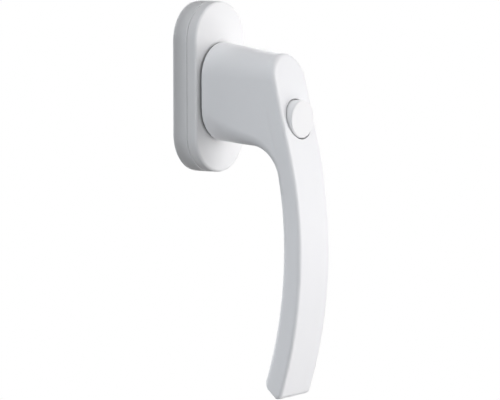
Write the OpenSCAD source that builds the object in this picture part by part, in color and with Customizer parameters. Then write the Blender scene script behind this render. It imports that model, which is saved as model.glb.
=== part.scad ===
// Window handle with a push-button lock: an oval rosette, a hollow-backed lever and a 7 mm spindle.
// The spindle axis is Y, the wall plane is y = 0 and the lever stands out towards -Y and hangs
// down -Z. Depths below are distances from the wall plane, so a depth d lies at y = -d.

/* [Rosette] */
// Width of the oval rosette
rosette_w = 31; // [26:0.5:38]
// Height of the oval rosette
rosette_h = 67; // [56:1:82]
// Depth of the rear layer, the fixed housing
housing_d = 6.75; // [5.6:0.05:8.2]
// Depth of the front layer, the turning cover cap
cap_d = 4.4; // [3.8:0.1:6]
// Wall thickness of the housing and the cap
shell_t = 1.4; // [1.1:0.1:1.7]
// Distance between the two fixing screws
screw_pitch = 43; // [36:0.5:51]
// Length of the screws beyond the wall plane
screw_reach = 38; // [20:1:60]

/* [Lever] */
// Width of the neck where it meets the rosette
neck_w = 26.6; // [22.2:0.2:30]
// Height of the neck top above the spindle axis
neck_top = 17.5; // [15:0.1:20]
// Depth of the neck underside below the spindle axis
neck_drop = 20.9; // [18:0.1:25]
// Width of the head around the button
head_w = 20.8; // [18:0.2:25]
// Width of the grip
grip_w = 19.6; // [16.4:0.2:23.6]
// Thickness of the grip
grip_t = 9.1; // [7.6:0.1:11]
// Radius of the grip's outward bow
bow_r = 168; // [140:1:220]
// Greatest distance of the grip's front from the wall
reach = 57.2; // [48:0.2:68]
// Height of the grip's lower end below the spindle axis
grip_drop = 118.7; // [99:0.1:142]
// Radius under the neck where it turns into the grip
fillet_r = 14; // [12:0.5:17]
// Radius along the grip's back edges
back_r = 3; // [1.5:0.1:3.6]
// Radius along the lever's front edges
front_r = 1.5; // [0.8:0.1:2]

/* [Button and spindle] */
// Diameter of the push button
button_dia = 14.6; // [12.2:0.1:17]
// How far the button stands out of the lever's front
button_proud = 2; // [1.6:0.1:2.4]
// How far the button moves when it is pressed
travel = 1.9; // [1.5:0.1:2.2]
// Side of the square spindle
spindle_s = 7; // [6:0.5:8]
// Length of the spindle beyond the wall plane
spindle_reach = 35; // [20:1:60]

/* [Hidden] */
$fn = 96;
gap = 0.1; // between parts that slide face to face
run = 0.05; // radial running clearance
slip = 0.02; // radial clearance of parts that are pressed together
lap = 0.5; // how far cuts run past a face

// rosette
oval_r = rosette_w / 2;
oval_l = rosette_h / 2 - oval_r; // half the straight side
screw_z = screw_pitch / 2;
plate_d = 3.3;
plate_r = oval_r - shell_t - gap;
floor_d0 = 1.3; // the plate's thin floor between the circlip and the detent
floor_d1 = 2;
plate_wall = 1.3; // casting walls round the plate's pockets
plate_pocket_h = 1.1;
seam = 0.2; // open line between the housing and the cap
cap_d0 = housing_d + seam;
cap_d1 = cap_d0 + cap_d;
cap_r = oval_r - 0.1;
cap_inner_d = cap_d1 - shell_t;
housing_edge_r = 0.2;
cap_edge_r = 1;
face_t = 1.6; // thickness of the housing's front wall

// screws and nubs
screw_r = 2.5; // over the thread, which starts just beyond the nub
shank_r = 2.25;
screw_head_r = 4.6;
screw_head_h = screw_head_r - screw_r;
screw_head_d = housing_d - 0.2;
screw_tip = 2.2;
screw_room = 0.15;
recess_l = 5;
recess_w = 1.1;
recess_h = 1.5;
boss_r = 5.7;
nub_r = 5;
nub_h = 3;
nub_bore_r = 2.8;
nub_seat_d = 1.6; // how deep it sits in the plate
nub_edge = 0.5;

// journal, the turned end of the lever: it fits both the housing and the neck
neck_r = neck_w / 2;
journal_r = min(oval_r - 4, neck_r - 1.8);
bore_r = journal_r + 1.1; // housing bore that holds the lock ring and the bush
hub_wall = 0.75;
hub_r = bore_r + hub_wall;
hub_top = cap_inner_d - gap;
collar_wall = 0.95;
collar_r = hub_r + collar_wall; // collar of the cap that turns on the hub
cap_hole_r = journal_r + 0.5;

// lock pin and the ring that its head stands in
pin_r = 1.5;
pin_head = 1;
pin_neck_r = 0.9;
pin_sink = 0.5; // how deep it is pressed into the button's crown
pin_tip = plate_d + 2 * gap + travel;
ring_t = 0.9;
ring_lip_d0 = pin_tip - gap;
ring_lip_d1 = pin_tip + pin_head + gap;
ring_lip_r = journal_r - 1.2;
pin_z = 0.3 + pin_r - ring_lip_r;
journal_d = ring_lip_d1 + gap;

// spindle hole, tail, detent and circlip
square_hole = spindle_s + gap;
tail_r = square_hole / sqrt(2) + 1;
tail_d = 0.15;
groove_r = tail_r - 0.45;
clip_d0 = 0.3;
clip_d1 = 0.8;
clip_r = tail_r + 2;
clip_mouth = 3;
clip_recess_r = clip_r + 1.2;
washer_r = clip_recess_r - 0.4;
cam_seat_r = tail_r + 0.3;
cam_flat_x = cam_seat_r - 0.9; // the seat and the tail are flat on both sides
waist_r = cam_seat_r + 0.5;
cam_flat = cam_seat_r + 1;
spring_t = 0.6;
spring_room = 0.7; // behind each leaf, for when a corner of the cam pushes it back
// The cam's corners leave the lock ring a seat on the plate on both sides of the springs' pocket
cam_corner_r = min(cam_flat + 1.6, bore_r - ring_t - run - spring_t - spring_room);
pocket_x = cam_corner_r + spring_t + spring_room;
pocket_z = 13.1;

// lever
neck_d = cap_d1 + 0.8;
bow_z = -63; // height of the bow's outermost point in front
back_bow_z = -61; // and behind, so that the grip thickens a little towards its end
bend_z = -21; // above this height the front is flat
head_lean = asin((bend_z - bow_z) / bow_r); // and leans back by this much
bend_d = reach - bow_r + sqrt(bow_r ^ 2 - (bend_z - bow_z) ^ 2);
back_bow_r = bow_r - grip_t;
arch_r = head_w / 2;
head_top = 14;
arch_z = head_top - arch_r;
underside_z = -neck_drop - 0.8; // the underside falls a little towards the fillet
waist_z = -45; // where the grip has reached its own width
waist_h = 30; // over which the head narrows to it
fillet_z = underside_z - fillet_r;
fillet_d = reach - bow_r + sqrt((back_bow_r - fillet_r) ^ 2 - (fillet_z - back_bow_z) ^ 2);
skin = 3; // the neck loft stops this far behind the front face
end_corner_r = 1.6;
end_slope = 1.05;
end_flat = 2.7; // flat part of the lower end, ahead of the slanted cut

// button, on a coil spring that goes round the lock pin and its guide
button_r = button_dia / 2;
button_hole_r = button_r + 0.45;
button_edge_r = 0.6;
cup_r = button_r - 1.4;
spring_wire = 0.9;
spring_r = cup_r - spring_wire / 2 - 0.25;
guide_r = pin_r + 0.6;
button_z = pin_z - (spring_r - spring_wire / 2 - guide_r - gap - run);
button_face = front_d(button_z) + button_proud;
button_crown = 3.7; // thickness of the button's front
button_skirt = 7.8; // from the button's face back to its flange
flange_t = 1.9;
retainer_h = 3;
bore_h = 13.8; // from the button's face down to the floor of its bore
seat_t = 0.7;
spring_top = button_face - button_crown;
flange_d1 = button_face - button_skirt;
flange_d0 = flange_d1 - flange_t;
retainer_d1 = flange_d1 + retainer_h;
bore_floor = button_face - bore_h;
seat_d = bore_floor + seat_t;
seat_r = button_hole_r - 0.5;

web = 6.5; // solid metal between the spindle's end and the button's bore
spindle_d = bore_floor - web;
spindle_bevel = 0.8;
spindle_corner_r = spindle_s * 0.69; // takes the sharp corners off the square
cross_d = journal_d + 1.6;
cross_r = 1.2;

// Points local z outward from the wall, with local y up.
module outward() {
    rotate([90, 0, 0]) children();
}

module disc(r, d0, d1, x = 0, z = 0) {
    outward() translate([x, z, d0]) cylinder(r = r, h = d1 - d0);
}

module ring(r_out, r_in, d0, d1, x = 0, z = 0) {
    difference() {
        disc(r_out, d0, d1, x, z);
        disc(r_in, d0 - lap, d1 + lap, x, z);
    }
}

module slab(d0, d1) {
    outward() translate([0, 0, d0]) linear_extrude(d1 - d0) children();
}

// Half of an oval's cross-section, with its front edge rounded.
module oval_section(r, h, edge) {
    square([r - edge, h]);
    square([r, h - edge]);
    translate([r - edge, h - edge]) circle(edge);
}

// Upright oval with a rounded front edge, from depth d0 to d1.
module oval(r, d0, d1, edge) {
    outward() translate([0, 0, d0]) {
        for (s = [-1, 1]) translate([0, s * oval_l, 0]) rotate_extrude() oval_section(r, d1 - d0, edge);
        rotate([90, 0, 0]) linear_extrude(2 * oval_l, center = true) {
            oval_section(r, d1 - d0, edge);
            mirror([1, 0]) oval_section(r, d1 - d0, edge);
        }
    }
}

module oval_flat(r, d0, d1) {
    slab(d0, d1) {
        for (s = [-1, 1]) translate([0, s * oval_l]) circle(r);
        square([2 * r, 2 * oval_l], center = true);
    }
}

// Cone and shank room of a countersunk screw
module screw_cut() {
    outward() translate([0, 0, screw_head_d - screw_head_h - screw_room])
        cylinder(r1 = screw_r, r2 = screw_head_r + screw_room, h = screw_head_h + screw_room);
    disc(screw_head_r + screw_room, screw_head_d, housing_d + lap);
    disc(screw_r + screw_room, -lap, housing_d);
}

module base_housing() {
    color("white") difference() {
        union() {
            difference() {
                oval(oval_r, 0, housing_d, housing_edge_r);
                oval_flat(oval_r - shell_t, -lap, housing_d - face_t);
            }
            disc(hub_r, plate_d + run, hub_top);
            for (s = [-1, 1]) disc(boss_r, plate_d + run, housing_d - face_t / 2, z = s * screw_z);
        }
        disc(bore_r, -lap, hub_top + lap);
        for (s = [-1, 1]) translate([0, 0, s * screw_z]) screw_cut();
    }
}

// Pockets in the plate's back, with a wall round each hole and one rib up the middle
module plate_pockets() {
    slab(-lap, plate_pocket_h) difference() {
        for (s = [-1, 1]) translate([0, s * oval_l]) circle(plate_r - plate_wall);
        circle(clip_recess_r + plate_wall);
        for (s = [-1, 1]) translate([0, s * screw_z]) circle(nub_r + plate_wall);
        square([plate_wall, rosette_h], center = true);
    }
}

module base_plate() {
    color("silver") difference() {
        oval_flat(plate_r, 0, plate_d);
        plate_pockets();
        disc(clip_recess_r, -lap, floor_d0);
        disc(cam_seat_r + gap, -lap, plate_d);
        slab(floor_d1, plate_d + lap) square([2 * pocket_x, 2 * pocket_z], center = true);
        for (s = [-1, 1]) {
            disc(nub_bore_r, -lap, plate_d + lap, z = s * screw_z);
            disc(nub_r + slip, -lap, nub_seat_d, z = s * screw_z);
        }
    }
}

// Support nub that sits in the sash profile's 10 mm hole around a screw
module nub(side) {
    color("gainsboro") translate([0, 0, side * screw_z]) difference() {
        union() {
            disc(nub_r, nub_edge - nub_h, nub_seat_d - slip);
            outward() translate([0, 0, -nub_h]) cylinder(r1 = nub_r - nub_edge, r2 = nub_r, h = nub_edge);
        }
        disc(nub_bore_r, -nub_h - lap, nub_seat_d + lap);
    }
}

module lock_ring() {
    color("slategray") difference() {
        disc(bore_r - slip, plate_d + run, ring_lip_d1);
        disc(bore_r - ring_t, plate_d, ring_lip_d0);
        disc(ring_lip_r, ring_lip_d0 - lap, ring_lip_d1 + lap);
    }
}

module journal_bush() {
    color("ivory") ring(bore_r - slip, journal_r + run, ring_lip_d1 + slip, hub_top - run);
}

// Leaf spring that presses on one flat of the detent cam; its bent ends stand in the plate's pocket
module detent_spring(side) {
    leaf_x = cam_flat + run;
    end_z = pocket_z - run;
    foot = pocket_x - run - leaf_x;
    color("dimgray") slab(floor_d1 + run, plate_d - run) {
        translate([side * (leaf_x + spring_t / 2), 0]) square([spring_t, 2 * end_z], center = true);
        for (s = [-1, 1]) translate([side * (leaf_x + foot / 2), s * (end_z - spring_t / 2)])
            square([foot, spring_t], center = true);
    }
}

module screw(side) {
    color("lightgray") translate([0, 0, side * screw_z]) difference() {
        union() {
            disc(screw_r, -screw_reach + screw_tip, -nub_h - gap);
            disc(shank_r, -nub_h - lap, screw_head_d - screw_head_h);
            outward() translate([0, 0, -screw_reach])
                cylinder(r1 = screw_r / 3, r2 = screw_r, h = screw_tip);
            outward() translate([0, 0, screw_head_d - screw_head_h])
                cylinder(r1 = shank_r, r2 = screw_head_r, h = screw_head_h);
        }
        for (turn = [0, 90]) slab(screw_head_d - recess_h, screw_head_d + lap)
            rotate(turn) square([recess_l, recess_w], center = true);
    }
}

module cover_cap() {
    color("white") difference() {
        union() {
            difference() {
                oval(cap_r, cap_d0, cap_d1, cap_edge_r);
                oval_flat(cap_r - shell_t, cap_d0 - lap, cap_inner_d);
            }
            disc(collar_r, cap_d0, cap_inner_d + slip);
        }
        disc(hub_r + run, cap_d0 - lap, cap_inner_d);
        disc(cap_hole_r, cap_d0, cap_d1 + lap);
    }
}

// Lever outline: depths of the front and back faces, and half-width, at a height z
function front_d(z) = z < bend_z
    ? reach - bow_r + sqrt(bow_r ^ 2 - (z - bow_z) ^ 2)
    : bend_d - (z - bend_z) * tan(head_lean);
function back_d(z) = reach - bow_r + sqrt(back_bow_r ^ 2 - (z - back_bow_z) ^ 2);
function ease(t) = let (c = min(1, max(0, t))) c * c * (3 - 2 * c);
function half_w(z) = grip_w / 2 + (arch_r - grip_w / 2) * ease((z - waist_z) / waist_h);
// Height of the lower end at a depth: a slanted cut, then a flat part up to the front
function end_z(d) = -grip_drop + end_slope * max(0, front_d(-grip_drop) - end_flat - d);

arch_steps = 12;
side_steps = 32;
corner_steps = 4;
edge_steps = 5;
stations = arch_steps + side_steps + corner_steps;

// Half-width and height of one station on the lever's outline, from the top of the arch down to
// the lower end, for an outline drawn in by inset, with the lower end at height low
function station(m, inset, low) =
    let (corner = max(end_corner_r - inset, 0.1), turn = low + corner)
    m <= arch_steps ? let (a = 90 * m / arch_steps)
        [(arch_r - inset) * sin(a), arch_z + (arch_r - inset) * cos(a)]
    : m <= arch_steps + side_steps ? let (z = arch_z + (turn - arch_z) * (m - arch_steps) / side_steps)
        [half_w(z) - inset, z]
    : let (a = 90 * (m - arch_steps - side_steps) / corner_steps)
        [half_w(turn) - inset - corner * (1 - cos(a)), turn - corner * sin(a)];

// Rings of the grip's skin: round the back edge, along the side, then round the front edge.
// Each is half a ring, and whole() adds its mirror image.
function back_ring(a) =
    let (
        inset = back_r * (1 - sin(a)),
        set = back_r * (1 - cos(a)),
        low = end_z(back_d(-grip_drop + 5) + set) + 0.3 * inset
    ) [for (m = [0:stations]) let (s = station(m, inset, low)) [s[0], -back_d(s[1]) - set, s[1]]];
function side_ring(ahead) =
    let (low = end_z(front_d(-grip_drop) - ahead))
    [for (m = [0:stations]) let (s = station(m, 0, low)) [s[0], -front_d(s[1]) + ahead, s[1]]];
function front_ring(a) =
    let (inset = front_r * (1 - cos(a)))
    [for (m = [0:stations]) let (s = station(m, inset, -grip_drop + inset))
        [s[0], -front_d(s[1]) + front_r * (1 - sin(a)), s[1]]];
function whole(half) = concat(half, [for (m = [stations:-1:1]) [-half[m][0], half[m][1], half[m][2]]]);

// Grip and head: a bowed bar under an arch, with rounded edges
module grip() {
    rings = concat(
        [for (k = [0:edge_steps]) whole(back_ring(90 * k / edge_steps))],
        [whole(side_ring(end_flat))],
        [for (k = [0:edge_steps]) whole(front_ring(90 * k / edge_steps))]
    );
    n = 2 * stations + 1;
    last = len(rings) - 1;
    front = [for (m = [0:stations - 1]) each rung(last * n, m, n)];
    back = [for (m = [0:stations - 1], f = rung(0, m, n)) [f[2], f[1], f[0]]];
    polyhedron([for (r = rings) each r], concat(skin_faces(last, n), front, back));
}

// Triangles between the rings of n points each, and across a mirrored ring between two stations
function skin_faces(last, n) = [for (i = [0:last - 1], j = [0:n - 1])
    let (a = i * n + j, b = i * n + (j + 1) % n) each [[a, b, b + n], [a, b + n, a + n]]];
function rung(base, m, n) = m == 0
    ? [[base, base + 1, base + n - 1]]
    : [[base + m, base + m + 1, base + n - m - 1], [base + m, base + n - m - 1, base + n - m]];

// Neck. A ring at share u of the way to the head runs over the top in a plane that leans with the
// head's front, and under the neck in a plane that turns about the fillet's centre.
top_steps = 20;
wall_steps = 3;
low_steps = 8;
taper = 1.6; // how gently the neck's sides run into the head
fillet_turn = asin((fillet_d - (reach - bow_r)) / (back_bow_r - fillet_r));
under_run = fillet_d - neck_d;
under_len = under_run + fillet_r * fillet_turn * PI / 180;

function top_depth(u, z) = neck_d + u * (front_d(max(z, bend_z)) - skin - neck_d);
// Point under the neck at a share u, lifted off the underside by h: [depth, height]
function under_point(u, h) =
    let (s = u * under_len)
    s < under_run
        ? [neck_d + s, -neck_drop + (underside_z + neck_drop) * s / under_run + h]
        : let (a = (s - under_run) / fillet_r * 180 / PI, r = fillet_r + h)
            [fillet_d + r * sin(a), fillet_z + r * cos(a)];

// One half of a neck ring, from the top down, drawn in by inset
function neck_ring(u, inset) =
    let (
        v = min(u, 1),
        wide = (neck_r - arch_r) * (1 - v) ^ taper - inset,
        r = arch_r - slip + wide,
        r_low = half_w(fillet_z) + slip / 2 + (neck_r - half_w(fillet_z)) * (1 - v) ^ taper - inset,
        zc = neck_top + (head_top - slip - neck_top) * v - r - inset,
        corner = min(r_low, back_r + (neck_r - back_r) * (1 - v) ^ 2),
        from = [r, top_depth(v, zc), zc],
        to = concat([r_low], under_point(u, inset + corner))
    ) concat(
        [for (k = [0:top_steps]) let (a = 90 * k / top_steps, z = zc + r * cos(a))
            [r * sin(a), -top_depth(v, z), z]],
        [for (k = [1:wall_steps]) let (p = from + (to - from) * k / wall_steps) [p[0], -p[1], p[2]]],
        [for (k = [1:low_steps])
            let (a = 90 * k / low_steps, p = under_point(u, inset + corner * (1 - sin(a))))
            [max(r_low - corner * (1 - cos(a)), 0.01), -p[0], p[1]]]
    );
neck_stations = top_steps + wall_steps + low_steps;

module neck() {
    rows = 30;
    edge = [[0, 0.4], [0.004, 0.12], [0.012, 0]];
    halves = concat([for (e = edge) neck_ring(e[0], e[1])], [for (i = [1:rows]) neck_ring(i / rows, 0)]);
    n = 2 * neck_stations + 1;
    last = len(halves) - 1;
    rings = [for (half = halves) concat(
        half,
        [for (m = [neck_stations:-1:1]) [-half[m][0], half[m][1], half[m][2]]]
    )];
    front = [for (m = [0:neck_stations - 1]) each rung(last * n, m, n)];
    back = [for (m = [0:neck_stations - 1], f = rung(0, m, n)) [f[2], f[1], f[0]]];
    polyhedron([for (r = rings) each r], concat(skin_faces(last, n), front, back));
}

// Round bar with a flat on each side
module two_flats(r, flat_x, d0, d1) {
    intersection() {
        disc(r, d0, d1);
        slab(d0, d1) square([2 * flat_x, 2 * r + lap], center = true);
    }
}

module spindle_square(d0, d1, side) {
    slab(d0, d1) square(side, center = true);
}

module handle_lever() {
    color("white") difference() {
        union() {
            resize([0, 0, 0]) { // keeps the size and joins the two into one skin
                grip();
                neck();
            }
            disc(journal_r, journal_d, neck_d + lap);
            disc(waist_r, plate_d + gap, journal_d + lap);
            two_flats(cam_seat_r, cam_flat_x, floor_d1, plate_d + gap + lap);
            two_flats(tail_r, cam_flat_x, tail_d, floor_d1 + lap);
        }
        ring(tail_r + lap, groove_r, clip_d0 - slip, clip_d1 + slip);
        spindle_square(-lap, spindle_d + slip, square_hole);
        disc(button_hole_r, bore_floor, reach + lap, z = button_z);
        disc(pin_r + gap, plate_d, bore_floor + lap, z = pin_z);
        rotate([0, 90, 0]) translate([0, -cross_d, 0])
            cylinder(r = cross_r + slip, h = 2 * (journal_r + lap), center = true);
    }
}

// Square cam with rounded corners that turns with the lever
module detent_cam() {
    color("beige") difference() {
        intersection() {
            slab(floor_d1 + run, plate_d - run) square(2 * cam_flat, center = true);
            disc(cam_corner_r, 0, plate_d);
        }
        two_flats(cam_seat_r + slip, cam_flat_x + slip, 0, plate_d + lap);
    }
}

module thrust_washer() {
    color("ivory") ring(washer_r, tail_r + run, clip_d1 + slip, floor_d0 - run);
}

module circlip() {
    color("dimgray") difference() {
        ring(clip_r, groove_r + slip, clip_d0, clip_d1);
        slab(clip_d0 - lap, clip_d1 + lap)
            translate([0, clip_r]) square([clip_mouth, clip_r], center = true);
    }
}

module spindle() {
    color("silver") difference() {
        intersection() {
            spindle_square(-spindle_reach, spindle_d, spindle_s);
            outward() translate([0, 0, -spindle_reach]) {
                cylinder(r1 = spindle_corner_r - spindle_bevel, r2 = spindle_corner_r, h = 2 * spindle_bevel);
                translate([0, 0, 2 * spindle_bevel])
                    cylinder(r = spindle_corner_r, h = spindle_reach + spindle_d);
            }
        }
        rotate([0, 90, 0]) translate([0, -cross_d, 0])
            cylinder(r = cross_r + slip, h = 2 * spindle_s, center = true);
    }
}

// Cross pin that holds the spindle in the journal, covered by the bush
module spindle_pin() {
    color("dimgray") rotate([0, 90, 0]) translate([0, -cross_d, 0])
        cylinder(r = cross_r, h = 2 * (journal_r - 0.3), center = true);
}

module button_retainer() {
    color("gray")
        ring(button_hole_r - slip, button_r + run, flange_d1 + gap, retainer_d1, z = button_z);
}

module spring_seat() {
    color("gray") difference() {
        disc(seat_r, bore_floor + slip, seat_d, z = button_z);
        disc(pin_r + gap, bore_floor - lap, seat_d + lap, z = pin_z);
    }
}

// Coil spring swept along a helix
module button_spring() {
    turns = 5;
    per_turn = 20;
    sides = 8;
    steps = turns * per_turn;
    bottom = seat_d + spring_wire / 2 + run;
    rise = spring_top - spring_wire / 2 - run - bottom;
    wire = [for (i = [0:steps], k = [0:sides - 1]) let (
        a = 360 * i / per_turn,
        b = 360 * k / sides,
        r = spring_r + spring_wire / 2 * cos(b)
    ) [r * cos(a), -bottom - rise * i / steps - spring_wire / 2 * sin(b), button_z + r * sin(a)]];
    color("lightgray") polyhedron(wire, concat(
        skin_faces(steps, sides),
        [[for (k = [sides - 1:-1:0]) k]],
        [[for (k = [0:sides - 1]) steps * sides + k]]
    ));
}

module push_button() {
    color("white") difference() {
        union() {
            outward() translate([0, button_z, flange_d0]) rotate_extrude()
                oval_section(button_r, button_face - flange_d0, button_edge_r);
            disc(button_hole_r - gap, flange_d0, flange_d1, z = button_z);
        }
        difference() {
            disc(cup_r, flange_d0 - lap, spring_top, z = button_z);
            disc(guide_r, flange_d0 - 2 * lap, spring_top + lap, z = pin_z);
        }
        disc(pin_r + slip, flange_d0 - lap, spring_top + pin_sink + gap, z = pin_z);
    }
}

// Lock pin: its head stands in the lock ring, and its thin neck clears the ring when it is pressed
module lock_pin() {
    neck_from = pin_tip + pin_head;
    neck_to = neck_from + travel + 2 * gap;
    color("darkgray") {
        disc(pin_r, neck_to, spring_top + pin_sink, z = pin_z);
        disc(pin_neck_r, pin_tip + pin_head / 2, neck_to + lap, z = pin_z);
        disc(pin_r, pin_tip, neck_from, z = pin_z);
    }
}

base_housing();
base_plate();
nub(1);  // nub_upper
nub(-1);  // nub_lower
lock_ring();
journal_bush();
detent_spring(-1);  // detent_spring_left
detent_spring(1);  // detent_spring_right
screw(1);  // screw_upper
screw(-1);  // screw_lower
cover_cap();
handle_lever();
detent_cam();
thrust_washer();
circlip();
spindle();
spindle_pin();
button_retainer();
spring_seat();
button_spring();
push_button();
lock_pin();
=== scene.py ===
"""Window handle with a push-button lock: its finishes, lever, screws, spring, lights and camera.

Metres. The spindle runs along Y, the wall is the plane y = 0, the lever stands out towards -Y and
hangs down -Z.
"""
import math

import bpy
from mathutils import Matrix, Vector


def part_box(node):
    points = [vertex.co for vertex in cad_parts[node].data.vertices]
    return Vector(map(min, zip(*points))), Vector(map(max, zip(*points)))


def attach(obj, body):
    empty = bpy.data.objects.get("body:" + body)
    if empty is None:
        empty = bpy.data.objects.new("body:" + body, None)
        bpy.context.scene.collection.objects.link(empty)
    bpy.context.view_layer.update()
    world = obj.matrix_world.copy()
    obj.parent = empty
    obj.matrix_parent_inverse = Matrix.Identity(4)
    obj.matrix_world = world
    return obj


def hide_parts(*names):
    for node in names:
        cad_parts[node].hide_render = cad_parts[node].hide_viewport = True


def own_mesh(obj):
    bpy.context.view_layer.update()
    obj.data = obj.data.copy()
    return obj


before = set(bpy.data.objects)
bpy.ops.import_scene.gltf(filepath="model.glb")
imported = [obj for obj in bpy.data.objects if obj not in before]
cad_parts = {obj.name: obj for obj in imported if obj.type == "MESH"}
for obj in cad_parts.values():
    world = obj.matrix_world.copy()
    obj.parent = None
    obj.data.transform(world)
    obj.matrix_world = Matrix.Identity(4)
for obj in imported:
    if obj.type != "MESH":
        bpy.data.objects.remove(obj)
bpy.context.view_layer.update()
bpy.ops.object.select_all(action="DESELECT")

MM = 0.001


# ---- finishes -------------------------------------------------------------------------------------

NOISE_SPAN = (0.3, 0.7)  # a noise stays mostly between these


class Finish:
    """A material whose pattern is laid out in the object's own metres."""

    def __init__(self, name, colour, roughness, metal=0.0):
        self.material = bpy.data.materials.new(name)
        self.material.use_nodes = True
        self.material.diffuse_color = (*colour, 1.0)
        self.tree = self.material.node_tree
        self.shader = self.tree.nodes["Principled BSDF"]
        self.shader.inputs["Base Color"].default_value = (*colour, 1.0)
        self.shader.inputs["Roughness"].default_value = roughness
        self.shader.inputs["Metallic"].default_value = metal
        self.colour = colour
        self.place = self.tree.nodes.new("ShaderNodeTexCoord").outputs["Object"]
        self.bump = None

    def set(self, **sockets):
        """Constants on the shader's own sockets, such as Subsurface_Weight=0.12."""
        for name, value in sockets.items():
            self.shader.inputs[name.replace("_", " ")].default_value = value

    def stretched(self, scale):
        """The place, stretched by a scale for each axis."""
        mapping = self.tree.nodes.new("ShaderNodeMapping")
        mapping.inputs["Scale"].default_value = scale
        self.tree.links.new(self.place, mapping.inputs["Vector"])
        return mapping.outputs["Vector"]

    def noise(self, scale, detail, rough=0.5, stretch=None):
        """A noise on the object's own place, stretched for each axis where stretch is given."""
        node = self.tree.nodes.new("ShaderNodeTexNoise")
        node.inputs["Scale"].default_value = scale
        node.inputs["Detail"].default_value = detail
        node.inputs["Roughness"].default_value = rough
        where = self.stretched(stretch) if stretch else self.place
        self.tree.links.new(where, node.inputs["Vector"])
        return node.outputs["Fac"]

    def ranged(self, value, low, high):
        """A noise, taken from its usual span to low..high."""
        node = self.tree.nodes.new("ShaderNodeMapRange")
        node.inputs["From Min"].default_value = NOISE_SPAN[0]
        node.inputs["From Max"].default_value = NOISE_SPAN[1]
        node.inputs["To Min"].default_value = low
        node.inputs["To Max"].default_value = high
        self.tree.links.new(value, node.inputs["Value"])
        return node.outputs["Result"]

    def clouded(self, value, other):
        """The base colour drifts towards another colour."""
        mix = self.tree.nodes.new("ShaderNodeMix")
        mix.data_type = "RGBA"
        mix.inputs["A"].default_value = (*self.colour, 1.0)
        mix.inputs["B"].default_value = (*other, 1.0)
        self.tree.links.new(self.ranged(value, 0.0, 1.0), mix.inputs["Factor"])
        self.tree.links.new(mix.outputs["Result"], self.shader.inputs["Base Color"])

    def glossed(self, value, low, high):
        """The roughness wanders between two values."""
        self.tree.links.new(self.ranged(value, low, high), self.shader.inputs["Roughness"])

    def textured(self, value, depth, strength):
        """A surface texture of a given depth, on top of those laid before it."""
        node = self.tree.nodes.new("ShaderNodeBump")
        node.inputs["Distance"].default_value = depth
        node.inputs["Strength"].default_value = strength
        self.tree.links.new(value, node.inputs["Height"])
        if self.bump:
            self.tree.links.new(self.bump, node.inputs["Normal"])
        self.bump = node.outputs["Normal"]
        self.tree.links.new(self.bump, self.shader.inputs["Normal"])


def white_lacquer():
    """Smooth satin lacquer on the die-cast lever, with a faint orange peel."""
    f = Finish("white_lacquer", (0.865, 0.87, 0.878), 0.42)
    f.set(Specular_IOR_Level=0.4)
    f.clouded(f.noise(45, 3), (0.857, 0.863, 0.873))
    f.glossed(f.noise(160, 4, 0.6), 0.39, 0.46)
    f.textured(f.noise(1100, 2), 0.00002, 0.5)
    f.textured(f.noise(90, 2), 0.00004, 0.3)
    return f.material


def white_plastic():
    """Moulded white plastic with the fine grain of a spark-eroded tool."""
    f = Finish("white_plastic", (0.87, 0.872, 0.872), 0.36)
    f.set(Specular_IOR_Level=0.45)
    f.clouded(f.noise(60, 3), (0.862, 0.866, 0.867))
    f.glossed(f.noise(220, 4, 0.6), 0.33, 0.42)
    f.textured(f.noise(5200, 2), 0.000012, 0.6)
    return f.material


def cast_zinc():
    """Raw die-cast zinc with flow marks and a grainy skin."""
    f = Finish("cast_zinc", (0.62, 0.63, 0.65), 0.45, metal=0.75)
    f.clouded(f.noise(110, 5, 0.6), (0.48, 0.49, 0.51))
    f.glossed(f.noise(240, 5, 0.65, stretch=(1.0, 1.0, 0.4)), 0.36, 0.62)
    f.textured(f.noise(2600, 3, 0.6), 0.00003, 0.7)
    f.textured(f.noise(150, 3), 0.00006, 0.4)
    return f.material


def gap_shade_zinc():
    """Turned zinc where the lever runs in its bush; its near-black colour is painted shade for the gap
    between the cap and the neck.
    """
    f = Finish("gap_shade_zinc", (0.07, 0.07, 0.075), 0.5, metal=0.7)
    f.clouded(f.noise(180, 4, 0.6), (0.045, 0.045, 0.05))
    f.glossed(f.noise(420, 4, 0.6), 0.42, 0.58)
    f.textured(f.noise(2400, 3, stretch=(0.3, 1.0, 0.3)), 0.00002, 0.6)
    return f.material


def plated_steel():
    """Zinc plating over turned steel, dulled by handling."""
    f = Finish("plated_steel", (0.42, 0.43, 0.45), 0.36, metal=1.0)
    f.clouded(f.noise(300, 4, 0.6), (0.33, 0.34, 0.37))
    f.glossed(f.noise(500, 4, 0.6), 0.3, 0.46)
    f.textured(f.noise(3200, 3), 0.00001, 0.6)
    return f.material


def drawn_steel():
    """Zinc-plated square bar, with the draw lines running along it."""
    f = Finish("drawn_steel", (0.66, 0.67, 0.68), 0.32, metal=1.0)
    f.clouded(f.noise(120, 5, 0.65), (0.52, 0.53, 0.54))
    f.glossed(f.noise(260, 4, 0.6), 0.26, 0.44)
    f.textured(f.noise(2400, 3, 0.6, stretch=(1.0, 0.03, 1.0)), 0.00003, 0.8)
    return f.material


def spring_steel():
    """Oil-hardened spring steel, dark and slightly blue."""
    f = Finish("spring_steel", (0.2, 0.205, 0.225), 0.38, metal=1.0)
    f.clouded(f.noise(260, 4, 0.6), (0.13, 0.135, 0.15))
    f.glossed(f.noise(420, 4, 0.6), 0.3, 0.5)
    f.textured(f.noise(3000, 3), 0.00001, 0.6)
    return f.material


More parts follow.
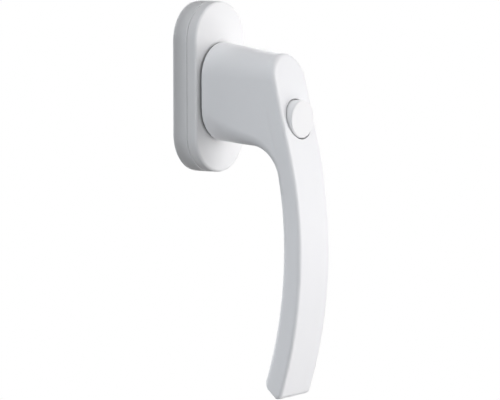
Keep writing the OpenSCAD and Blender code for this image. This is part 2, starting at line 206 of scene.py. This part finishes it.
def natural_acetal():
    """Unpigmented acetal: creamy, waxy and a little translucent."""
    f = Finish("natural_acetal", (0.76, 0.745, 0.69), 0.4)
    f.set(Subsurface_Weight=0.12, Subsurface_Scale=0.002)
    f.clouded(f.noise(140, 3), (0.73, 0.715, 0.655))
    f.glossed(f.noise(300, 4, 0.6), 0.35, 0.48)
    f.textured(f.noise(3600, 2), 0.000012, 0.6)
    return f.material


def grey_plastic():
    """Grey moulded plastic of the small hidden parts."""
    f = Finish("grey_plastic", (0.2, 0.2, 0.205), 0.45)
    f.clouded(f.noise(140, 3), (0.17, 0.17, 0.175))
    f.glossed(f.noise(300, 4, 0.6), 0.4, 0.52)
    f.textured(f.noise(4200, 2), 0.000012, 0.7)
    return f.material


FINISHES = {
    white_lacquer: ["handle_lever"],
    white_plastic: ["base_housing", "cover_cap", "push_button"],
    cast_zinc: ["base_plate"],
    plated_steel: ["screw_upper", "screw_lower", "lock_ring", "lock_pin", "button_spring"],
    drawn_steel: ["spindle"],
    spring_steel: ["circlip", "detent_spring_left", "detent_spring_right", "spindle_pin"],
    natural_acetal: ["nub_upper", "nub_lower", "journal_bush", "detent_cam", "thrust_washer"],
    grey_plastic: ["button_retainer", "spring_seat"],
}
finish = {make.__name__: make() for make in FINISHES}
for make, nodes in FINISHES.items():
    for node in nodes:
        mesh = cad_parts[node].data
        mesh.materials.clear()
        mesh.materials.append(finish[make.__name__])


# ---- modelling by hand ----------------------------------------------------------------------------


def alone(obj):
    """Only obj is selected, and it is the active object."""
    bpy.ops.object.select_all(action="DESELECT")
    bpy.context.view_layer.objects.active = obj
    obj.select_set(True)


def edit(obj):
    """Only obj is selected, in edit mode, with all of its mesh."""
    alone(obj)
    bpy.ops.object.mode_set(mode="EDIT")
    bpy.ops.mesh.select_all(action="SELECT")


def edit_chosen(obj, parts, chosen):
    """Edit mode with only those vertices or faces selected for which chosen(part) is true."""
    edit(obj)
    bpy.ops.mesh.select_all(action="DESELECT")
    done()
    for part in parts:
        part.select = chosen(part)
    bpy.ops.object.mode_set(mode="EDIT")


def done():
    """Back in object mode."""
    bpy.ops.object.mode_set(mode="OBJECT")


def settled(obj):
    """The object's place, turn and scale are moved into its mesh."""
    alone(obj)
    bpy.ops.object.transform_apply(location=True, rotation=True, scale=True)


def sewn(obj, distance=0.004 * MM):
    """Doubles merged and the faces turned outwards."""
    edit(obj)
    bpy.ops.mesh.remove_doubles(threshold=distance)
    bpy.ops.mesh.normals_make_consistent(inside=False)
    done()


def wind(obj, rise, turns, facets):
    """A profile is wound up the Z axis, rising by rise in each turn."""
    winding = obj.modifiers.new("winding", "SCREW")
    winding.axis = "Z"
    winding.angle = 2 * math.pi
    winding.steps = winding.render_steps = facets
    winding.screw_offset = rise
    winding.iterations = turns
    bpy.ops.object.modifier_apply(modifier="winding")


# ---- lever ----------------------------------------------------------------------------------------

NECK_GAP = 0.8 * MM  # between the cap and the neck, where the journal shows
GAP_SHADE_MARGIN = 0.02 * MM  # the dark part, painted shade of the gap, takes in the neck's end face by this much
CASTING_SEAM = 0.0002 * MM  # corners of the casting that are closer than this are one
CASTING_CREASE = 30  # degrees between two faces that meet in an edge
LONG_TILT = (-0.36, 0.28)  # lowest and highest Z of the normals on the lever's bowed front
LONG_ROUNDNESS = 0.01  # how far a long face's normal may point sideways
LONG_FACING = 0.9  # how far it points to the front or the back


def long_face(face):
    """True on the lever's front and back, which bow but have no roundness across."""
    low, high = LONG_TILT
    tilt = face.normal.z if face.normal.y < 0 else -face.normal.z
    faces_out = abs(face.normal.x) < LONG_ROUNDNESS and abs(face.normal.y) > LONG_FACING
    return faces_out and low < tilt < high


def smooth_skin(lever):
    """The casting's triangles become one skin, and its long faces lead the shading at their edges."""
    sewn(lever, CASTING_SEAM)
    bpy.ops.mesh.customdata_custom_splitnormals_clear()
    edit(lever)
    bpy.ops.mesh.mark_sharp(clear=True)
    done()
    edit_chosen(lever, lever.data.polygons, long_face)
    bpy.ops.mesh.mod_weighted_strength(set=True, face_strength="STRONG")
    done()
    bpy.ops.object.shade_smooth_by_angle(angle=math.radians(CASTING_CREASE))
    even = lever.modifiers.new("even_normals", "WEIGHTED_NORMAL")
    even.keep_sharp = True
    even.use_face_influence = True
    bpy.ops.object.modifier_apply(modifier="even_normals")


def lacquered_lever():
    """The lever's casting in white lacquer; its turned journal and the neck's end are painted dark, as
    shade in the gap between the cap and the neck.
    """
    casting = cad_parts["handle_lever"]
    lever = casting.copy()
    lever.data = casting.data.copy()
    lever.name = lever.data.name = "lever_lacquered"
    bpy.context.collection.objects.link(lever)
    smooth_skin(lever)
    lever.data.materials.clear()
    lever.data.materials.append(finish["white_lacquer"])
    lever.data.materials.append(gap_shade_zinc())
    # Faces nearer the wall than this take the near-black finish, which is painted shade for the gap.
    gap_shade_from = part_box("cover_cap")[0].y - NECK_GAP - GAP_SHADE_MARGIN
    for face in lever.data.polygons:
        face.material_index = 1 if face.center.y > gap_shade_from else 0
    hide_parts("handle_lever")
    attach(lever, "handle")


lacquered_lever()


# ---- screws ---------------------------------------------------------------------------------------

SCREW_FACETS = 36
SCREW_CREASE = 28  # degrees between two faces that meet in an edge
THREAD_PITCH = 0.8 * MM
THREAD_ROOT = 2.02 * MM  # radius
THREAD_CREST = 2.49 * MM  # radius
CREST_START = 0.5  # where the crest starts in one turn of the thread, in pitches
THREAD_FLAT = 0.14  # height of the flats at the root and at the crest, in pitches
THREAD_RUN_OUT = 0.1 * MM  # the thread starts this far past the shank
CORE = 1.9 * MM  # radius under the thread
SHANK = 2.24 * MM  # radius of the plain shank
SHANK_END = 3.1 * MM  # the shank ends just past the nub
SHANK_TAPER = 0.2 * MM
HEAD_EDGE = 0.12 * MM  # bevel round the head, and height of the rim behind it
TIP = 2.2 * MM  # length of the tapered tip
TIP_EDGE = 0.1 * MM
TIP_RADII = (0.45, 0.35)  # before and after the tip's edge, as shares of the core's radius
RECESS_DEPTH = 1.9 * MM  # the cutter also stands this far out of the head
RECESS_LENGTH = 5 * MM  # of the cutter's outer end
RECESS_WIDTH = 1.1 * MM  # of the cutter's outer end
RECESS_TAPER = 0.62  # size of the cutter's inner end, as a share of its outer end


def drawn_line(name, points):
    """A line in the XZ plane, drawn by extruding one vertex from point to point."""
    bpy.ops.mesh.primitive_plane_add(size=MM)
    line = bpy.context.object
    line.name = line.data.name = name
    edit(line)
    bpy.ops.mesh.merge(type="CENTER")
    bpy.ops.transform.translate(value=(points[0][0], 0, points[0][1]))
    for (x0, z0), (x1, z1) in zip(points, points[1:]):
        bpy.ops.mesh.extrude_region_move(TRANSFORM_OT_translate={"value": (x1 - x0, 0, z1 - z0)})
    done()
    return line


def turned(name, points):
    """A closed shape turned round Z from a line whose two ends lie on the axis."""
    piece = drawn_line(name, points)
    edit(piece)
    bpy.ops.mesh.spin(steps=SCREW_FACETS, angle=2 * math.pi, center=(0, 0, 0), axis=(0, 0, 1))
    done()
    sewn(piece)
    return piece


def cut_across(obj, z, keep_above):
    """All that is above or below a height is cut away, and the cut is closed."""
    edit(obj)
    bpy.ops.mesh.bisect(
        plane_co=(0, 0, z),
        plane_no=(0, 0, 1),
        use_fill=True,
        clear_inner=keep_above,
        clear_outer=not keep_above,
    )
    done()


def thread(bottom, top):
    """A rolled thread between two heights: one profile, wound from below bottom to above top."""
    profile = [
        (THREAD_ROOT, 0),
        (THREAD_ROOT, THREAD_FLAT),
        (THREAD_CREST, CREST_START),
        (THREAD_CREST, CREST_START + THREAD_FLAT),
        (THREAD_ROOT, 1),
    ]
    start = bottom - 1.5 * THREAD_PITCH
    wound = drawn_line("thread", [(r, start + pitches * THREAD_PITCH) for r, pitches in profile])
    turns = math.ceil((top - bottom) / THREAD_PITCH) + 3
    wind(wound, THREAD_PITCH, turns, SCREW_FACETS)
    sewn(wound)
    cut_across(wound, bottom, True)
    cut_across(wound, top, False)
    sewn(wound)
    return wound


def cross_recess(body, face):
    """A tapered cross, cut into the screw's head one slot at a time; face is the head's height."""
    for sides in ((RECESS_WIDTH, RECESS_LENGTH), (RECESS_LENGTH, RECESS_WIDTH)):
        bpy.ops.mesh.primitive_cube_add(size=1, location=(0, 0, face))
        slot = bpy.context.object
        edit(slot)
        bpy.ops.transform.resize(value=(*sides, 2 * RECESS_DEPTH), center_override=(0, 0, face))
        done()
        settled(slot)
        edit_chosen(slot, slot.data.vertices, lambda corner: corner.co.z > face)
        bpy.ops.transform.resize(value=(RECESS_TAPER, RECESS_TAPER, 1), center_override=(0, 0, face))
        done()
        cut = body.modifiers.new("recess", "BOOLEAN")
        cut.object = slot
        cut.operation = "DIFFERENCE"
        cut.solver = "EXACT"
        bpy.context.view_layer.objects.active = body
        bpy.ops.object.modifier_apply(modifier="recess")
        bpy.data.objects.remove(slot)


def fixing_screw():
    """One countersunk machine screw on the spindle's axis, with its head and tip at their CAD depths."""
    low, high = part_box("screw_upper")
    head, tip = low.y, high.y
    head_r = (high.x - low.x) / 2
    core = turned(
        "screw_core",
        [
            (0, head),
            (head_r - HEAD_EDGE, head),
            (head_r, head + HEAD_EDGE),
            (head_r, head + 2 * HEAD_EDGE),
            (SHANK, head + head_r - SHANK + 2 * HEAD_EDGE),
            (SHANK, SHANK_END - SHANK_TAPER),
            (CORE, SHANK_END),
            (CORE, tip - TIP),
            (CORE * TIP_RADII[0], tip - TIP_EDGE),
            (CORE * TIP_RADII[1], tip),
            (0, tip),
        ],
    )
    cross_recess(core, head)
    wound = thread(SHANK_END + THREAD_RUN_OUT, tip - TIP)
    alone(core)
    wound.select_set(True)
    bpy.ops.object.join()
    core.rotation_euler = (math.radians(-90), 0, 0)
    settled(core)
    bpy.ops.object.shade_smooth_by_angle(angle=math.radians(SCREW_CREASE))
    return core


def fitted(screw, node):
    """A screw on the spindle's axis goes to the height of its CAD node and stands for it."""
    low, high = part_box(node)
    screw.name = screw.data.name = node + "_threaded"
    screw.location = (0, 0, (low.z + high.z) / 2)
    settled(screw)
    screw.data.materials.append(finish["plated_steel"])
    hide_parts(node)
    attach(screw, "base")


def fixing_screws():
    """The same screw twice; the lower one is a copy that also keeps what the upper one stands for."""
    upper = fixing_screw()
    on_axis = upper.data.copy()
    fitted(upper, "screw_upper")
    lower = upper.copy()
    lower.data = on_axis
    bpy.context.collection.objects.link(lower)
    fitted(lower, "screw_lower")


fixing_screws()


# ---- button spring --------------------------------------------------------------------------------

SPRING_WIRE = 0.9 * MM
SPRING_TURNS = 5
WIRE_FACETS = 14
COIL_FACETS = 40  # in one turn of the coil
COIL_CREASE = 40  # degrees between two faces that meet in an edge


def button_coil():
    """The coil spring behind the button, wound at one fixed length; the real one shortens as the button
    goes in.
    """
    low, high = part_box("button_spring")
    radius = (high.x - low.x - SPRING_WIRE) / 2
    middle_z = (low.z + high.z) / 2
    rise = (high.y - low.y - SPRING_WIRE) / SPRING_TURNS
    bpy.ops.mesh.primitive_circle_add(
        vertices=WIRE_FACETS,
        radius=SPRING_WIRE / 2,
        location=(radius, 0, 0),
        rotation=(math.radians(90), 0, 0),
    )
    coil = bpy.context.object
    coil.name = coil.data.name = "button_coil"
    settled(coil)
    wind(coil, rise, SPRING_TURNS, COIL_FACETS)
    edit(coil)
    bpy.ops.mesh.fill_holes(sides=WIRE_FACETS)
    done()
    sewn(coil)
    coil.rotation_euler = (math.radians(90), 0, 0)
    coil.location = (0, high.y - SPRING_WIRE / 2, middle_z)
    settled(coil)
    bpy.ops.object.shade_smooth_by_angle(angle=math.radians(COIL_CREASE))
    coil.data.materials.append(finish["plated_steel"])
    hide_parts("button_spring")
    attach(coil, "handle")
    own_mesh(coil)


button_coil()


# ---- room, lights and camera ----------------------------------------------------------------------

WALL_COLOUR = (1.0, 1.0, 1.0, 1.0)
ROOM_COLOUR = (0.8, 0.8, 0.8, 1.0)
FLOOR_HEIGHT = -0.17
FLOOR_SIDE = 4.0
FLOOR_GLOW = 0.7
WALL_SIDE = 6.0
WALL_GAP = 0.6 * MM  # the wall stands this far behind the rosette
CARD_COLOUR = (0.07, 0.07, 0.07)
CARD_CLEARANCE = 0.5 * MM  # between the rosette and the card
CARD_WIDTH = 18 * MM
CARD_FACETS = 96


def stage_plane(name, size, location, turn):
    """A flat square that belongs to the room and not to the handle."""
    bpy.ops.mesh.primitive_plane_add(size=size, location=location, rotation=turn)
    plane = bpy.context.object
    plane.name = name
    settled(plane)
    return plane


def pale_floor():
    """The floor, which is only seen: it lights, mirrors and shades nothing."""
    floor = stage_plane("floor", FLOOR_SIDE, (0, 0, FLOOR_HEIGHT), (0, 0, 0))
    f = Finish("pale_floor", (0.9, 0.9, 0.9), 0.7)
    f.set(Emission_Color=ROOM_COLOUR, Emission_Strength=FLOOR_GLOW)
    f.clouded(f.noise(3, 2), (0.89, 0.89, 0.89))
    floor.data.materials.append(f.material)
    floor.visible_diffuse = floor.visible_glossy = floor.visible_shadow = False


def white_wall():
    """The wall behind the handle: it is only seen, and only from the room's side."""
    middle = (0, WALL_GAP, FLOOR_HEIGHT + WALL_SIDE / 2)
    wall = stage_plane("wall", WALL_SIDE, middle, (math.radians(90), 0, 0))
    material = bpy.data.materials.new("white_wall")
    material.use_nodes = True
    tree = material.node_tree
    tree.nodes.clear()
    glow = tree.nodes.new("ShaderNodeEmission")
    glow.inputs["Color"].default_value = WALL_COLOUR
    glow.inputs["Strength"].default_value = 1.0
    clear = tree.nodes.new("ShaderNodeBsdfTransparent")
    mix = tree.nodes.new("ShaderNodeMixShader")
    side = tree.nodes.new("ShaderNodeNewGeometry")
    out = tree.nodes.new("ShaderNodeOutputMaterial")
    tree.links.new(side.outputs["Backfacing"], mix.inputs["Fac"])
    tree.links.new(glow.outputs["Emission"], mix.inputs[1])
    tree.links.new(clear.outputs["BSDF"], mix.inputs[2])
    tree.links.new(mix.outputs["Shader"], out.inputs["Surface"])
    wall.data.materials.append(material)
    for ray in ("diffuse", "glossy", "transmission", "volume_scatter", "shadow"):
        setattr(wall, f"visible_{ray}", False)


def shade_card():
    """A dark card on the wall round the rosette: unseen, it only shades the rosette's sides."""
    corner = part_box("base_housing")[1]
    half_w, half_h = corner.x, corner.z
    bpy.ops.mesh.primitive_circle_add(
        vertices=CARD_FACETS,
        radius=half_w + CARD_CLEARANCE,
        rotation=(math.radians(90), 0, 0),
    )
    card = bpy.context.object
    card.name = "shade_card"
    settled(card)
    straight = half_h - half_w
    for vertex in card.data.vertices:
        vertex.co.z += straight if vertex.co.z > 0 else -straight
    edit(card)
    bpy.ops.mesh.extrude_edges_move()
    bpy.ops.transform.resize(value=(1 + CARD_WIDTH / half_w, 1, 1 + CARD_WIDTH / half_h))
    done()
    card.data.materials.append(Finish("dark_card", CARD_COLOUR, 0.9).material)
    card.visible_camera = False


# Soft boxes round the handle: the azimuth and elevation at which each one stands, in degrees, its
# side, its power in watts and its tint. Azimuth 0 is straight out into the room, 90 is on the right
# and 180 is behind the wall, which lets light through.
NEUTRAL = (1.0, 0.99, 1.0)
COOL = (0.935, 0.962, 1.0)
SOFT_BOXES = {
    "front_right": (30, 5, 0.7, 6.0, NEUTRAL),
    "front_right_high": (30, 40, 0.7, 2.0, NEUTRAL),
    "front_right_low": (30, -30, 0.7, 3.6, NEUTRAL),
    "right": (60, 5, 0.7, 2.0, NEUTRAL),
    "right_low": (60, -30, 0.7, 0.9, NEUTRAL),
    "right_high": (60, 40, 0.7, 0.6, NEUTRAL),
    "far_right": (90, 5, 0.7, 0.9, NEUTRAL),
    "front": (0, 5, 0.7, 1.4, NEUTRAL),
    "front_low": (0, -30, 0.7, 1.3, NEUTRAL),
    "front_left": (-40, 5, 0.7, 0.8, COOL),
    "front_left_high": (-60, 40, 0.7, 1.4, COOL),
    "left": (-90, 5, 0.7, 2.5, COOL),
    "left_high": (-90, 40, 0.7, 2.7, COOL),
    "left_low": (-90, -30, 0.7, 1.3, COOL),
    "back_left": (-120, 5, 0.7, 1.1, COOL),
    "back_left_far": (-150, 5, 0.7, 1.6, COOL),
    "back_left_high": (-150, 40, 0.7, 0.9, COOL),
    "overhead": (0, 88, 0.9, 3.1, NEUTRAL),
    "underneath": (0, -88, 0.9, 1.6, NEUTRAL),
    "back_right": (120, 25, 0.7, 4.0, NEUTRAL),
    "back_right_low": (140, -15, 1.0, 6.0, NEUTRAL),
    "back_low": (172, -25, 0.7, 1.5, NEUTRAL),
    "back": (180, 25, 1.2, 6.0, NEUTRAL),
}
SOFT_BOX_DISTANCE = 1.2
AIM_HEIGHT = -0.05  # of the handle's middle, which the soft boxes look at


def soft_box(name, azimuth, elevation, side, power, tint):
    """One square light on a sphere round the handle, turned to face it."""
    a, e = math.radians(azimuth), math.radians(elevation)
    light = bpy.data.lights.new(name, "AREA")
    light.shape = "SQUARE"
    light.size = side
    light.energy = power
    light.color = tint
    box = bpy.data.objects.new(name, light)
    bpy.context.collection.objects.link(box)
    box.location = (
        SOFT_BOX_DISTANCE * math.sin(a) * math.cos(e),
        -SOFT_BOX_DISTANCE * math.cos(a) * math.cos(e),
        SOFT_BOX_DISTANCE * math.sin(e) + AIM_HEIGHT,
    )
    box.rotation_euler = (math.radians(90) - e, 0, a)
    box.visible_camera = False


def room_light():
    """A pale room that is only seen, and the soft boxes that light the handle."""
    world = bpy.data.worlds.new("studio")
    bpy.context.scene.world = world
    world.use_nodes = True
    tree = world.node_tree
    tree.nodes["Background"].inputs["Color"].default_value = ROOM_COLOUR
    for ray in ("diffuse", "glossy", "transmission", "scatter"):
        setattr(world.cycles_visibility, ray, False)
    for name, box in SOFT_BOXES.items():
        soft_box(name, *box)


CAMERA_PLACE = (-0.7235, -0.5816, 0.0517)
CAMERA_DOWN = 5.963  # degrees below level
CAMERA_TURN = -52.467  # degrees from looking straight at the wall
LENS = 169.6  # focal length and sensor width in millimetres
SENSOR = 36.0
NEAREST = 0.05  # nothing nearer the lens is seen


def camera():
    """A long lens on the left of the handle, a little above it."""
    lens = bpy.data.cameras.new("camera")
    lens.lens = LENS
    lens.sensor_width = SENSOR
    lens.clip_start = NEAREST
    view = bpy.data.objects.new("camera", lens)
    bpy.context.collection.objects.link(view)
    view.location = CAMERA_PLACE
    view.rotation_euler = (math.radians(90 - CAMERA_DOWN), 0, math.radians(CAMERA_TURN))
    bpy.context.scene.camera = view


pale_floor()
white_wall()
shade_card()
room_light()
camera()
bpy.context.scene.view_settings.view_transform = "Standard"
